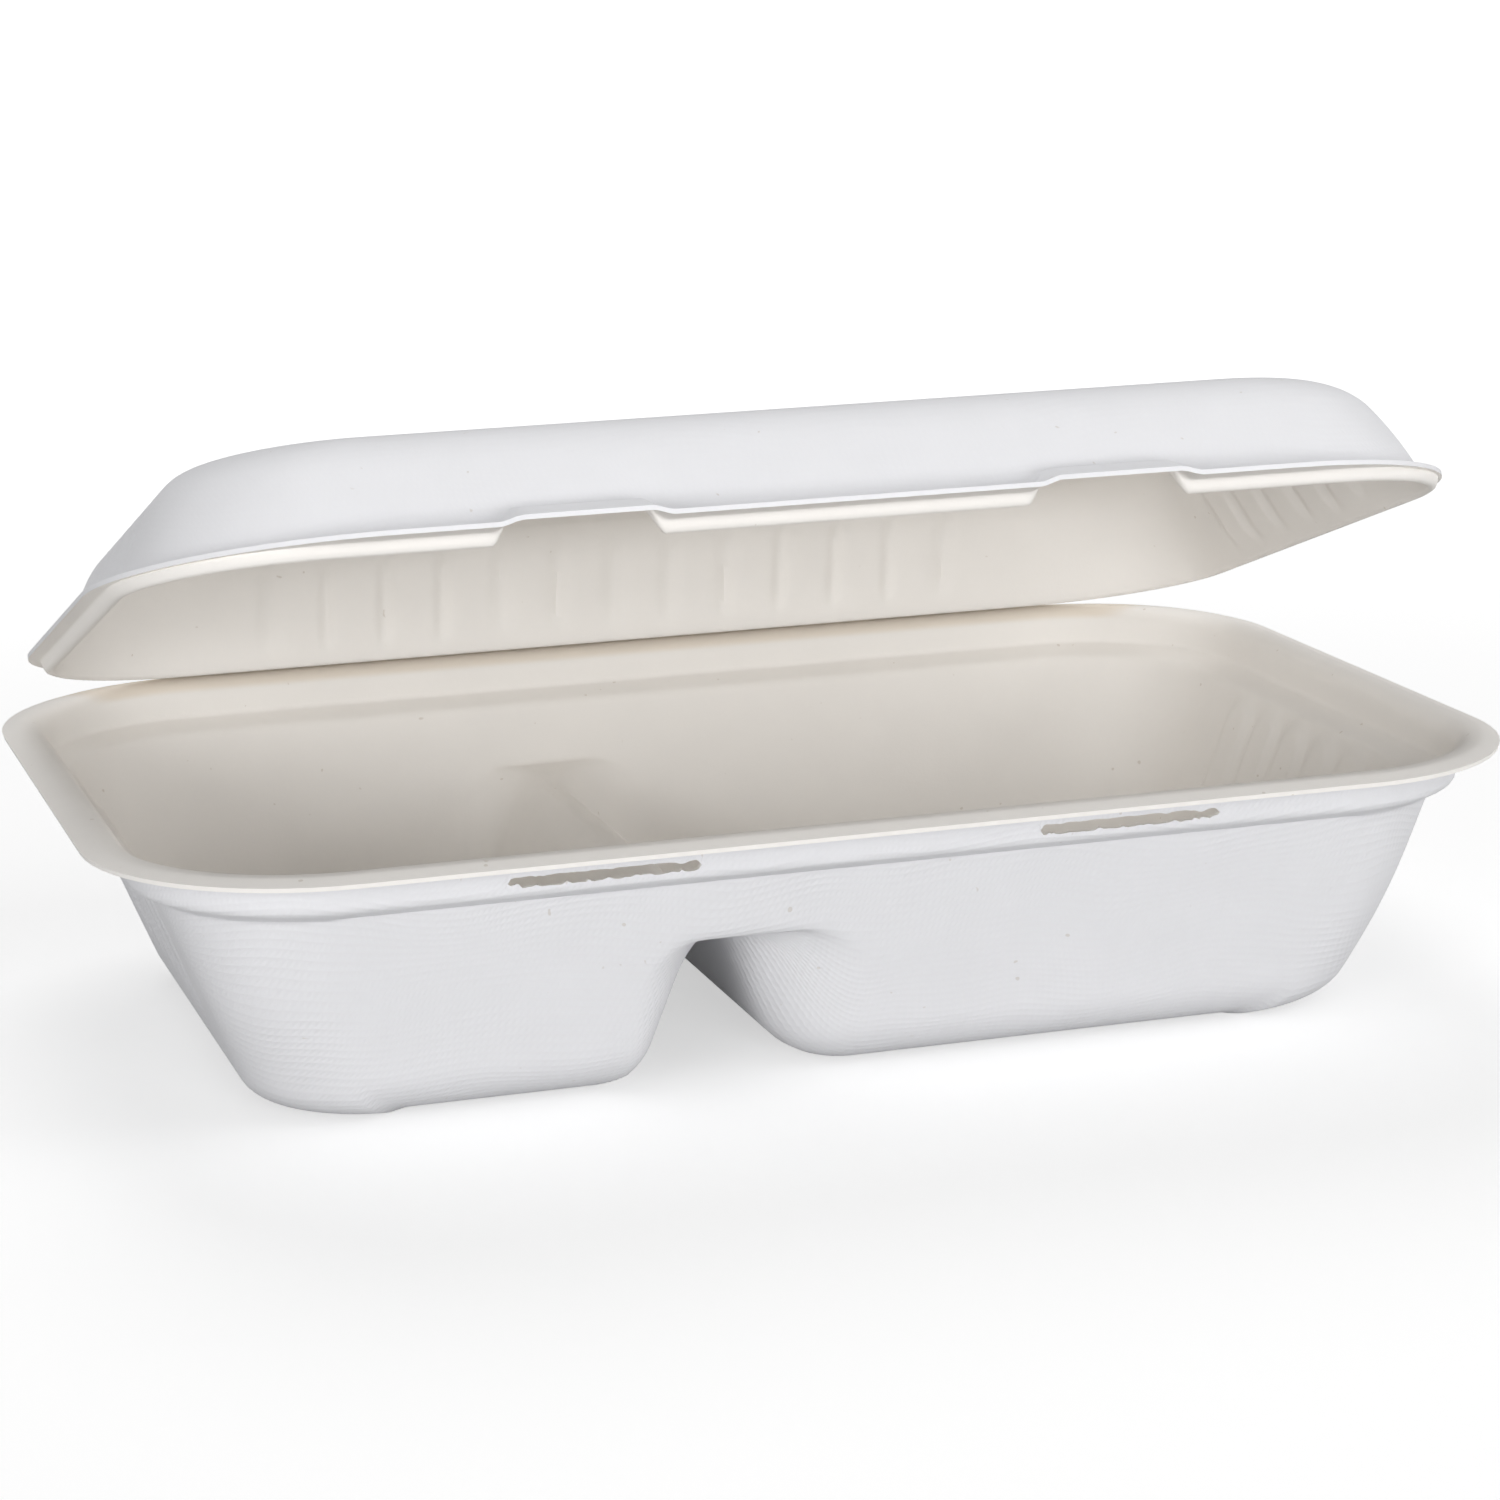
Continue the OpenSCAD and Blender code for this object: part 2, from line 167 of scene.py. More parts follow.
# Gloss and texture of the pulp: noise scales of the mottle, the specks and two sizes of grain
ROUGHNESS = 0.82
SPECULAR = 0.28
MOTTLE, SPECKS, FINE_GRAIN, COARSE_GRAIN = 90, 700, 2600, 420
MOTTLE_SHADE = 0.95
SPECK_LEVEL = 0.855
SPECK_MOST = 0.3
BUMP_STRENGTH = 0.6
BUMP_HEIGHT = 0.12 * MM

# Edges that are shaded sharp, and the web of the fold
SHARP_ANGLE = math.radians(50)
WEB_STEPS = 160
WEB_THICKNESS = 0.6 * MM
WEB_BOW = 0.45 * MM


def ease(t):
    """Smooth step from 0 to 1."""
    u = np.clip(t, 0, 1)
    return u * u * (3 - 2 * u)


def band(x, half, soft):
    """0 outside |x| < half, rising to 1 over the distance soft inside it."""
    return 1 - ease((np.abs(x) - half + soft) / soft)


def soft_min(a, b, k):
    """Smaller of a and b, with the corner between them rounded over k."""
    h = np.maximum(k - np.abs(a - b), 0) / np.maximum(k, TINY)
    return np.minimum(a, b) - h * h * k / 4


def soft_rise(t, k):
    """t above k, 0 below -k, and a smooth curve between."""
    return np.where(t > k, t, np.where(t < -k, 0, (t + k) ** 2 / (4 * k)))


def wander(x, scale, seed):
    """A smooth random curve along x, between about -1 and 1."""
    draw = np.random.default_rng(seed)
    total = np.zeros_like(x)
    for k in range(1, 5):
        total += np.sin(x * 2 * math.pi * k / scale + draw.uniform(0, 2 * math.pi)) * draw.uniform(0.4, 1) / k
    return total / 1.6


def heading(corners, i):
    d = corners[i + 1] - corners[i]
    return d / np.linalg.norm(d)


def left_of(v):
    return np.array([-v[1], v[0]])


def moved_corner(corners, i, off):
    """A corner of the section, after the section is moved by off to its left."""
    a = left_of(heading(corners, max(i - 1, 0)))
    b = left_of(heading(corners, min(i, len(corners) - 2)))
    return corners[i] + off * (a + b) / (1 + a @ b)


def rounding(corners, radii, i, off, steps):
    """Points of the rounded corner i."""
    da, db = heading(corners, i - 1), heading(corners, i)
    side = 1 if da[0] * db[1] - da[1] * db[0] > 0 else -1
    r = radii[i] - side * off
    half = math.acos(min(da @ db, 1)) / 2
    start = moved_corner(corners, i, off) - da * r * math.tan(half)
    centre = start + side * r * left_of(da)
    first = math.atan2(left_of(da)[1], left_of(da)[0])
    turn = first + side * 2 * half * np.linspace(0, 1, steps + 1)
    return [centre - side * r * np.array([math.cos(t), math.sin(t)]) for t in turn]


def section_faces(corners, radii, off, cuts):
    """The section's unmoved face and its face moved by off, with the same number of points in each.

    cuts maps a straight stretch to the heights at which it is divided; the others are divided evenly.
    """
    faces = []
    for moved in (0, off):
        points, straight_starts = [moved_corner(corners, 0, moved)], [0]
        for i in range(1, len(corners) - 1):
            bend = math.acos(min(heading(corners, i - 1) @ heading(corners, i), 1))
            steps = max(3, math.ceil(radii[i] * bend / ARC_STEP))
            points += rounding(corners, radii, i, moved, steps)
            straight_starts.append(len(points) - 1)
        points.append(moved_corner(corners, -1 % len(corners), moved))
        faces.append((points, straight_starts))
    out = []
    for points, starts in faces:
        dense = []
        for i, p in enumerate(points[:-1]):
            q = points[i + 1]
            dense.append(p)
            if i not in starts:
                continue
            stretch = starts.index(i)
            if stretch in cuts:
                dense += [p + (q - p) * (z - p[1]) / (q[1] - p[1]) for z in cuts[stretch]]
            else:
                base, after = faces[0][0][i], faces[0][0][i + 1]
                parts = math.ceil(np.linalg.norm(after - base) / RING_STEP)
                dense += [p + (q - p) * k / parts for k in range(1, parts)]
        out.append(np.array(dense + [points[-1]]))
    return out


def column_shares():
    """Places of the columns along the front and back, as shares of their half length, finer at the slots."""
    half = rim_length / 2 - rim_corner
    inner, outer = latch_x - slot_length / 2 - 1 * MM, latch_x + slot_length / 2 + 1 * MM
    stops = [-half, -outer, -inner, inner, outer, half]
    shares = [-half]
    for k, (a, b) in enumerate(zip(stops, stops[1:])):
        parts = math.ceil((b - a) / (SLOT_COLUMN if k % 2 else PLAIN_COLUMN))
        shares += list(a + (b - a) * np.arange(1, parts + 1) / parts)
    return np.array(shares) / half


COLUMN_SHARES = column_shares()
SIDE_COLUMNS = len(COLUMN_SHARES) - 1
FRONT_MIDDLE = int(np.argmin(np.abs(COLUMN_SHARES)))


def plan_ring(hx, front, back, r):
    """x, y and side (1 front, 2 right, 3 back, 4 left, 0 corner) around a rounded rectangle."""
    sx, low, high = hx - r, -front + r, back - r
    along = sx * COLUMN_SHARES
    up = low + (high - low) * np.linspace(0, 1, END_COLUMNS + 1)

    def corner(cx, cy, start):
        t = np.radians(start + 90 * np.arange(1, CORNER_STEPS) / CORNER_STEPS)
        return cx + r * np.cos(t), cy + r * np.sin(t), np.zeros(len(t))

    parts = [
        (along, np.full(len(along), -front), np.full(len(along), 1)),
        corner(sx, low, -90),
        (np.full(len(up), hx), up, np.full(len(up), 2)),
        corner(sx, high, 0),
        (along[::-1], np.full(len(along), back), np.full(len(along), 3)),
        corner(-sx, high, 90),
        (np.full(len(up), -hx), up[::-1], np.full(len(up), 4)),
        corner(-sx, low, 180),
    ]
    return [np.concatenate([p[k] for p in parts]) for k in range(3)]


def arched_ribs(t, depth, top, count, pitch):
    """Height of a row of ribs with arched tops: 1 on a rib, 0 in the grooves and above the arches."""
    half = count * pitch / 2
    near = (np.clip(np.floor((t + half) / pitch), 0, count - 1) + 0.5) * pitch - half
    w = pitch / 2 - 0.25 * groove
    over = top + w - depth
    inside = w - np.where(over > 0, np.hypot(t - near, over), np.abs(t - near))
    return ease(inside / (0.55 * groove) + 0.3)


# Tray section, from the edge of the lip to the floor
inner_depth = tray_height - wall
ledge_drop = step_depth + ledge * math.tan(ledge_slope)
step_foot = flange + step_depth * math.tan(step_draft)
ledge_end = step_foot + ledge
floor_inset = ledge_end + (inner_depth - ledge_drop) * math.tan(draft)
floor_tangent = floor_radius * math.tan((math.pi / 2 - draft) / 2)
TRAY_CORNERS = np.array([
    [0, -lip_drop],
    [lip, 0],
    [flange, 0],
    [step_foot, -step_depth],
    [ledge_end, -ledge_drop],
    [floor_inset, -inner_depth],
    [floor_inset + floor_tangent + 1 * MM, -inner_depth],
])
TRAY_RADII = [0, 4 * MM, 3.5 * MM, 1 * MM, 2.4 * MM, floor_radius, 0]
STEP = 2
slot_top = -slot_depth + slot_height / 2
slot_foot = -slot_depth - slot_height / 2


def wall_depth(s, off):
    """Depth of the tray's sloping wall at an inset s, on the face moved by off."""
    p = moved_corner(TRAY_CORNERS, 5, -off)
    return -p[1] - (p[0] - s) / math.tan(draft)


def pan_depth(s, off, radius=floor_radius):
    """Depth of the wall, its rounding and the floor."""
    r, depth = radius + off, inner_depth + off
    middle = moved_corner(TRAY_CORNERS, 5, -off)[0] + r * math.tan((math.pi / 2 - draft) / 2)
    along = middle - s
    curve = depth - r + np.sqrt(np.maximum(r * r - along * along, 0))
    return np.where(along <= 0, depth, np.where(along < r * math.cos(draft), curve, wall_depth(s, off)))


def divided_depth(x, s, off):
    """Depth under the rim of a point of the tray: the wall, unless the divider stands higher."""
    crest = crest_depth + off
    crest_inset = s + (crest - wall_depth(s, off)) * math.tan(draft)
    half = crest_half - off * (1 - math.sin(draft)) / math.cos(draft)
    a = s - crest_inset
    b = np.abs(x - divider_x) - half
    r = np.where(x < divider_x, left_pan_corner, right_pan_corner) + off
    c = np.where((a < r) & (b < r), r - np.hypot(r - a, r - b), np.minimum(a, b))
    soft = 3 * MM * (1 - ease(b / r))
    divider = pan_depth(crest_inset + soft_rise(c, crest_soft), off, divider_floor_radius)
    return soft_min(pan_depth(s, off), divider, soft + 0.01 * MM)


def tray_corner(s, depth):
    t = ease((depth - ledge_drop) / (inner_depth - ledge_drop))
    return (rim_corner - s) * (1 - t) + floor_corner * t


def tray_ring(p, q, off):
    """One ring of the tray's face that is moved by off; p is its section point, q the inner face's."""
    s, z = p
    r = tray_corner(q[0], -q[1]) + q[0] - s
    x, y, side = plan_ring(rim_length / 2 - s, rim_width / 2 - s, rim_width / 2 - s, r)
    foot = ease((inner_depth - 9 * MM + q[1]) / (8 * MM))
    ribs = arched_ribs(y, -q[1], ledge_drop + 1.2 * MM, end_ribs, end_pitch)
    push = np.where((side == 2) | (side == 4), rib_depth * foot * ribs, 0)
    flat = np.where((side == 3) & (s < lip), band(x, hinge_length / 2, 4 * MM), 0)
    level = z * (1 - flat) - off * flat
    sunk = (side == 1) | (side == 3)
    if -z > ledge_drop + 0.5 * MM:
        level = np.where(sunk, -np.minimum(-level, divided_depth(x, s, off)), level)
    if abs(q[1] - slot_top) < TINY or abs(q[1] - slot_foot) < TINY:
        level = level + slot_edge(x, q[1] > -slot_depth, off) * (side == 1)
    return np.column_stack([x - np.sign(x) * push, y, tray_height + level])


def slot_edge(x, upper, off):
    """How far the torn edge of a slot wanders, and how its ends close."""
    move = np.zeros_like(x)
    for number, middle in enumerate((-latch_x, latch_x)):
        t = x - middle
        draw = np.random.default_rng(31 + number + (5 if upper else 0))
        tear = 0.1 * MM * wander(x, 5 * MM, 3 + number + (5 if upper else 0) + (9 if off else 0))
        for _ in range(4 if upper else 15):
            at, wide = draw.uniform(-1, 1) * slot_length / 2, draw.uniform(0.3, 0.75) * MM
            tall = draw.uniform(0.08, 0.2 if upper else 0.5) * MM
            tear += (-1 if upper else 1) * tall * np.exp(-((t - at) / wide) ** 2)
        hook = np.exp(-((t - 0.4 * slot_length) / (1.1 * MM)) ** 2)
        tear += (-0.5 if upper else 0.1) * MM * hook
        over = np.clip(np.abs(t) - slot_length / 2 + slot_height / 2, 0, slot_height / 2)
        nose = 0.9 * (slot_height / 2 - np.sqrt((slot_height / 2) ** 2 - over * over))
        reach = slot_height / 2 - 0.06 * MM
        close = np.clip(nose - tear if upper else nose + tear, -0.25 * MM, reach)
        move = np.where(np.abs(t) < slot_length / 2 + 0.3 * MM, -close if upper else close, move)
    return move


def floor_rows(ring, s, off):
    """Rows of points across the floor, between the front and the back of the last ring."""
    x = ring[: SIDE_COLUMNS + 1, 0]
    rows = []
    for t in np.linspace(-1, 1, FLOOR_ROWS + 2)[1:-1]:
        y = (rim_width / 2 - s) * t
        depth = divided_depth(x, rim_width / 2 - abs(y), off)
        rows.append(np.column_stack([x, np.full(len(x), y), tray_height - depth]))
    return rows


def tray_faces():
    """Rings and floor rows of the outer face and of the inner face."""
    inner, outer = section_faces(TRAY_CORNERS, TRAY_RADII, -wall, {STEP: [slot_top, slot_foot]})
    low = [tray_ring(p, q, wall) for p, q in zip(outer, inner)]
    high = [tray_ring(q, q, 0) for q in inner]
    hole_ring = int(np.argmin(np.abs(inner[:, 1] - slot_top)))
    low_rows = floor_rows(low[-1], outer[-1][0], wall)
    high_rows = floor_rows(high[-1], inner[-1][0], 0)
    return (low, low_rows), (high, high_rows), hole_ring


# Lid section, from the edge of its flange to its top, measured from its underside when shut
bead_inset = flange + bead_depth * (math.tan(step_draft) - math.tan(bead_draft)) + bead_room
bead_foot = bead_depth + bead_radius * (
    math.cos((lid_draft - bead_draft) / 2) / math.sin((lid_draft + bead_draft) / 2) - 1)
bead_tip = bead_inset + bead_foot * math.tan(bead_draft)
lid_shoulder = bead_tip + (lid_height + bead_foot) * math.tan(lid_draft)
lid_tangent = shoulder_radius * math.tan((math.pi / 2 - lid_draft) / 2)
LID_CORNERS = np.array([
    [0, 0],
    [bead_inset, 0],
    [bead_tip, -bead_foot],
    [lid_shoulder, lid_height],
    [lid_shoulder + lid_tangent + 1 * MM, lid_height],
])
LID_RADII = [0, 1 * MM, bead_radius, shoulder_radius, 0]


def spread(s, short):
    """Inset of one side of the flange, whose edge stops short of the rim by a distance of its own."""
    return s + short * max(0, 1 - s / bead_inset)


def lid_corner_at(s, z):
    t, edge = ease(z / lid_height), max(0, 1 - s / bead_inset)
    foot = rim_corner + bead_room - s
    return (foot + (lid_corner - foot) * edge) * (1 - t) + lid_top_corner * t


def lid_ring(p, q, off):
    """One ring of the lid's face that is moved by off; p is its section point, q the inner face's."""
    s, z = p
    r = lid_corner_at(q[0], q[1]) + q[0] - s
    x, y, side = plan_ring(
        rim_length / 2 - spread(s, lid_short_end),
        rim_width / 2 - spread(s, lid_short_front),
        rim_width / 2 - spread(s, 1.5 * hinge_gap),
        r)
    fade = ease((q[1] + bead_depth - 2 * MM) / (4 * MM)) * ease((lid_height - q[1]) / (6 * MM))
    ends = arched_ribs(y, lid_height - q[1], 3 * MM, end_ribs, end_pitch)
    push = np.where((side == 2) | (side == 4), rib_depth * fade * ends, 0)
    along = x - back_ribs_x
    half = (back_ribs + 0.67) * back_pitch / 2
    gap = np.abs((along / back_pitch) - np.round(along / back_pitch)) * back_pitch * 2 / (0.8 * groove)
    row = (side == 3) & (np.abs(along) < half)
    grooves = np.where(row, 1.4 * rib_depth * fade * np.exp(-gap * gap), 0)
    tab = np.where(side == 1, band(np.abs(x) - latch_x, tab_length / 2, tab_soft), 0)
    rise = tab_edge_rise + (tab_rise - tab_edge_rise) * min(s / bead_inset, 1)
    level = np.maximum(z, z * (1 - tab) + (off + rise) * tab)
    return np.column_stack([x - np.sign(x) * push, y + grooves, level])


def lid_faces():
    """Rings and top rows of the inner face and of the outer face."""
    inner, outer = section_faces(LID_CORNERS, LID_RADII, wall, {})
    low = [lid_ring(q, q, 0) for q in inner]
    high = [lid_ring(p, q, wall) for p, q in zip(outer, inner)]
    rows = []
    for last in (low[-1], high[-1]):
        front = last[: SIDE_COLUMNS + 1]
        ys = np.linspace(last[:, 1].min(), last[:, 1].max(), FLOOR_ROWS + 2)[1:-1]
        rows.append([np.column_stack([front[:, 0], np.full(len(front), y), front[:, 2]]) for y in ys])
    return (low, rows[0]), (high, rows[1])


def stack_quads(rings, n, gaps, hole_ring):
    """Quads between rings of n points, without those in the gaps of hole_ring."""
    quads = []
    for k in range(rings - 1):
        for i in range(n):
            if k == hole_ring and any(a <= i < b for a, b in gaps):
                continue
            j = (i + 1) % n
            quads.append((k * n + i, k * n + j, (k + 1) * n + j, (k + 1) * n + i))
    return quads


def cap_faces(first, row0, n, columns, rows):
    """Faces that close the last ring: rows of quads across it, and one wide face at each end."""
    def point(i, j):
        if j == 0:
            return first + i
        if j == rows + 1:
            return first + n // 2 + columns - 1 - i
        return row0 + (j - 1) * columns + i

    faces = [(point(i, j), point(i + 1, j), point(i + 1, j + 1), point(i, j + 1))
             for j in range(rows + 1) for i in range(columns - 1)]
    right = [first + k for k in range(columns - 1, n // 2 + 1)]
    right += [point(columns - 1, j) for j in range(rows, 0, -1)]
    left = [first + k for k in range(n // 2 + columns - 1, n)] + [first]
    left += [point(0, j) for j in range(1, rows + 1)]
    return faces + [tuple(right), tuple(left)]


def unrolled(rings, rows):
    """Texture places: the distance round each ring from the front's middle, and down the section."""
    n = len(rings[0])
    start = FRONT_MIDDLE
    places, depth = [], 0
    for k, ring in enumerate(rings):
        if k:
            depth += np.linalg.norm(ring[start] - rings[k - 1][start])
        turned = np.roll(ring[:, :2], -start, axis=0)
        steps = np.linalg.norm(np.roll(turned, -1, axis=0) - turned, axis=1)
        right = np.concatenate([[0], np.cumsum(steps)[:-1]])
        left = right - steps.sum()
        along = np.where(np.arange(n) < n / 2, right, left)
        places.append(np.column_stack([np.roll(along, start), np.full(n, depth)]))
    front = rings[-1][:, 1].min()
    for row in rows:
        places.append(np.column_stack([row[:, 0], depth + row[:, 1] - front]))
    return np.concatenate(places)


def sheet_object(name, low, high, gaps=(), hole_ring=-1, place=None):
    """A closed sheet from its lower and upper faces, each a stack of rings and rows across the last one.

    Material 0 is on the lower face and material 1 on the upper face and the edges.
    """
    n, rings, rows, columns = len(low[0][0]), len(low[0]), len(low[1]), SIDE_COLUMNS + 1
    points, places = [], []
    for stack, cross in (low, high):
        points.append(np.concatenate(stack + cross))
        places.append(unrolled(stack, cross))
    lift = len(points[0])
    under = stack_quads(rings, n, gaps, hole_ring) + cap_faces((rings - 1) * n, rings * n, n, columns, rows)
    upper = [tuple(i + lift for i in reversed(f)) for f in under]
    edge = [(lift + i, lift + (i + 1) % n, (i + 1) % n, i) for i in range(n)]
    for a, b in gaps:
        top, foot = hole_ring * n, (hole_ring + 1) * n
        loop = [top + i for i in range(a, b + 1)] + [foot + i for i in range(b, a - 1, -1)]
        for i, j in zip(loop, loop[1:] + loop[:1]):
            edge.append((i, j, j + lift, i + lift))
    faces = under + upper + edge
    mesh = bpy.data.meshes.new(name)
    points = np.concatenate(points)
    mesh.from_pydata(points.tolist(), [], faces)
    sides = np.array([0] * len(under) + [1] * (len(upper) + len(edge)), np.int32)
    mesh.polygons.foreach_set("material_index", sides)
    corner_points = np.zeros(len(mesh.loops), np.int64)
    mesh.loops.foreach_get("vertex_index", corner_points)
    uv = np.concatenate(places)[corner_points]
    mesh.uv_layers.new(name="sheet").data.foreach_set("uv", (uv / rim_length).ravel())
    if place is not None:
        mesh.transform(place)
    mesh.shade_smooth()
    mesh.set_sharp_from_angle(angle=SHARP_ANGLE)
    mesh.update()
    obj = bpy.data.objects.new(name, mesh)
    bpy.context.scene.collection.objects.link(obj)
    return obj


def slot_gaps():
    """Pairs of front columns between which the slots are open."""
    s = flange + slot_depth * math.tan(step_draft)
    half = rim_length / 2 - s - tray_corner(s, 0)
    x = half * COLUMN_SHARES
    gaps = []
    for side in (-1, 1):
        ends = [side * latch_x - slot_length / 2, side * latch_x + slot_length / 2]
        gaps.append(tuple(int(np.argmin(np.abs(x - e))) for e in ends))
    return gaps


def pulp_material(name, colour, screen, painted_shade_back=False):
    """Moulded pulp: nearly matt, faintly mottled, with a few specks.

    screen is how deep the print of the mould's screen is, 0 for none.
    painted_shade_back paints shade on the back of the rim, where the sheet is folded under the lid: painted
    shade, warm like light bounced from the lid's inside.
    """
    mat = bpy.data.materials.new(name)
    mat.use_nodes = True
    nodes, links = mat.node_tree.nodes, mat.node_tree.links
    shader = nodes["Principled BSDF"]
    shader.inputs["Roughness"].default_value = ROUGHNESS
    shader.inputs["Specular IOR Level"].default_value = SPECULAR
    place = nodes.new("ShaderNodeTexCoord")

    def noise(scale, detail):
        node = nodes.new("ShaderNodeTexNoise")
        node.inputs["Scale"].default_value = scale
        node.inputs["Detail"].default_value = detail
        links.new(place.outputs["Object"], node.inputs["Vector"])
        return node.outputs["Fac"]

    def math_node(kind, a, b=None):
        node = nodes.new("ShaderNodeMath")
        node.operation = kind
        for socket, value in zip(node.inputs, (a, b)):
            if isinstance(value, (int, float)):
                socket.default_value = value
            elif value is not None:
                links.new(value, socket)
        return node.outputs[0]

    def mixed(factor, a, b):
        node = nodes.new("ShaderNodeMix")
        node.data_type = "RGBA"
        links.new(factor, node.inputs["Factor"])
        for socket, value in ((node.inputs["A"], a), (node.inputs["B"], b)):
            if isinstance(value, tuple):
                socket.default_value = value
            else:
                links.new(value, socket)
        return node.outputs["Result"]

    darker = tuple(MOTTLE_SHADE * c for c in colour[:3]) + (1,)
    mottled = mixed(math_node("MULTIPLY", noise(MOTTLE, 3), 0.8), colour, darker)
    speck = math_node("MULTIPLY", math_node("SUBTRACT", noise(SPECKS, 0), SPECK_LEVEL), 8)
    speck = math_node("MINIMUM", math_node("MAXIMUM", speck, 0), SPECK_MOST)
    shade = mixed(speck, mottled, FIBRE)
    if painted_shade_back:
        # Painted shade on the back of the rim, warm like light bounced from the lid
        where = nodes.new("ShaderNodeSeparateXYZ")
        links.new(place.outputs["Object"], where.inputs[0])
        masks = []
        for axis, low, high in PAINTED_SHADE_ZONE:
            mask = nodes.new("ShaderNodeMapRange")
            mask.interpolation_type = "SMOOTHSTEP"
            mask.inputs["From Min"].default_value = low
            mask.inputs["From Max"].default_value = high
            links.new(where.outputs[axis], mask.inputs["Value"])
            masks.append(mask.outputs["Result"])
        shade = mixed(math_node("MULTIPLY", *masks), shade, PAINTED_SHADE_TAN)
    links.new(shade, shader.inputs["Base Color"])

    height = math_node("MULTIPLY", noise(FINE_GRAIN, 2), 0.25)
    height = math_node("ADD", height, math_node("MULTIPLY", noise(COARSE_GRAIN, 2), 0.4))
    if screen:
        split = nodes.new("ShaderNodeSeparateXYZ")
        warp = nodes.new("ShaderNodeVectorMath")
        warp.operation = "MULTIPLY_ADD"
        drift = nodes.new("ShaderNodeTexNoise")
        drift.inputs["Scale"].default_value = DRIFT_SCALE
        drift.inputs["Detail"].default_value = 1
        links.new(place.outputs["UV"], drift.inputs["Vector"])
        links.new(drift.outputs["Color"], warp.inputs[0])
        warp.inputs[1].default_value = (DRIFT, DRIFT, 0)
        links.new(place.outputs["UV"], warp.inputs[2])
        links.new(warp.outputs[0], split.inputs[0])
        along = math_node("MULTIPLY", split.outputs[0], rim_length / STITCH_LENGTH)
        down = math_node("FRACT", math_node("MULTIPLY", split.outputs[1], rim_length / ROW_HEIGHT))
        row = math_node("SINE", math_node("MULTIPLY", down, math.pi))
        slant = math_node("ADD", along, math_node("MULTIPLY", down, STITCH_SLANT))
        stitch = math_node("SINE", math_node("MULTIPLY", slant, 2 * math.pi))
        stitch = math_node("ADD", math_node("MULTIPLY", stitch, STITCH_DEPTH), 1 - STITCH_DEPTH)
        print_height = math_node("MULTIPLY", math_node("MULTIPLY", row, stitch), screen)
        height = math_node("ADD", height, print_height)
    bump = nodes.new("ShaderNodeBump")
    bump.inputs["Strength"].default_value = BUMP_STRENGTH
    bump.inputs["Distance"].default_value = BUMP_HEIGHT
    links.new(height, bump.inputs["Height"])
    links.new(bump.outputs["Normal"], shader.inputs["Normal"])
    return mat


def fold_web(material):
    """The living hinge: a thin strip bent round the joint from the tray's back edge to the lid's."""
    n = WEB_STEPS
    x = hinge_length / 2 * np.linspace(-1, 1, n + 1)
    tray_edge = Vector((0, rim_width / 2 - 0.25 * MM, tray_height - wall / 2))
    flange_out = Vector((0, -1.5 * hinge_gap - 0.25 * MM, hinge_gap / 2 + wall / 2))
    lid_edge = pivot + Matrix.Rotation(-open_angle, 3, "X") @ flange_out
    rows = []
    for t in np.linspace(0, 1, 9):
        straight = tray_edge.lerp(lid_edge, t)
        bow = WEB_BOW * math.sin(math.pi * t)
        rows.append((straight.y + bow, straight.z))
    profile = rows + [(y - WEB_THICKNESS, z) for y, z in reversed(rows)]
    m = len(profile)
    points = [(float(px), y, z) for px in x for y, z in profile]
    faces = [(k * m + i, k * m + (i + 1) % m, (k + 1) * m + (i + 1) % m, (k + 1) * m + i)
             for k in range(n) for i in range(m)]
    faces += [tuple(range(m))[::-1], tuple(n * m + i for i in range(m))]
    mesh = bpy.data.meshes.new("fold")
    mesh.from_pydata(points, [], faces)
    mesh.shade_smooth()
    mesh.set_sharp_from_angle(angle=SHARP_ANGLE)
    mesh.materials.append(material)
    obj = bpy.data.objects.new("fold", mesh)
    bpy.context.scene.collection.objects.link(obj)
    return obj


def build():
    outside = pulp_material("pulp_outside", TRAY_OUTSIDE_SHADED, 1)
    lid_outside = pulp_material("pulp_lid_outside", LID_OUTSIDE_LIT, LID_SCREEN)
    inside = pulp_material("pulp_inside", INSIDE_WARM_LIT, 0)
    # The tray's inside carries the painted shade on the back of the rim, and so does the fold's web
    tray_inside = pulp_material("pulp_tray_inside", INSIDE_WARM_LIT, 0, True)

    low, high, hole_ring = tray_faces()
    tray = sheet_object("tray_sheet", low, high, slot_gaps(), hole_ring)
    tray.data.materials.append(outside)
    tray.data.materials.append(tray_inside)

    low, high = lid_faces()
    shut_to_open = (
        Matrix.Translation(pivot)
        @ Matrix.Rotation(-open_angle, 4, "X")
        @ Matrix.Translation((0, -rim_width / 2, hinge_gap / 2))
    )
    lid = sheet_object("lid_sheet", low, high, place=shut_to_open)
    lid.data.materials.append(inside)
    lid.data.materials.append(lid_outside)

    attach(tray, "tray")
    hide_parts("tray")
    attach(lid, "lid")
    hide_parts("lid")

    web = fold_web(tray_inside)
    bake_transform(web)


# Lights: the surround, the floor, which looks white from afar, and the lamps in watts
WORLD_LIGHT = 0.25
FLOOR_HALF = 6
FLOOR_COLOUR = (0.6, 0.6, 0.6, 1)
FLOOR_WHITE = 0.55
WHITE_FROM = 0.25
WHITE_TO = 1.2
LAMP_SIZE = 0.9
LAMP_TARGET = (0, 0, 0.05)
LAMPS = [
    ("front_left", (-1.3, -1.2, 0.3), 11.5),
    ("right", (1.5, -0.5, 0.5), 6.5),
    ("low", (0, -1.4, 0.12), 12.2),
    ("high_right", (0.9, -0.9, 1.2), 3),
    ("back_top", (0, 0.9, 1.3), 8.7),
]


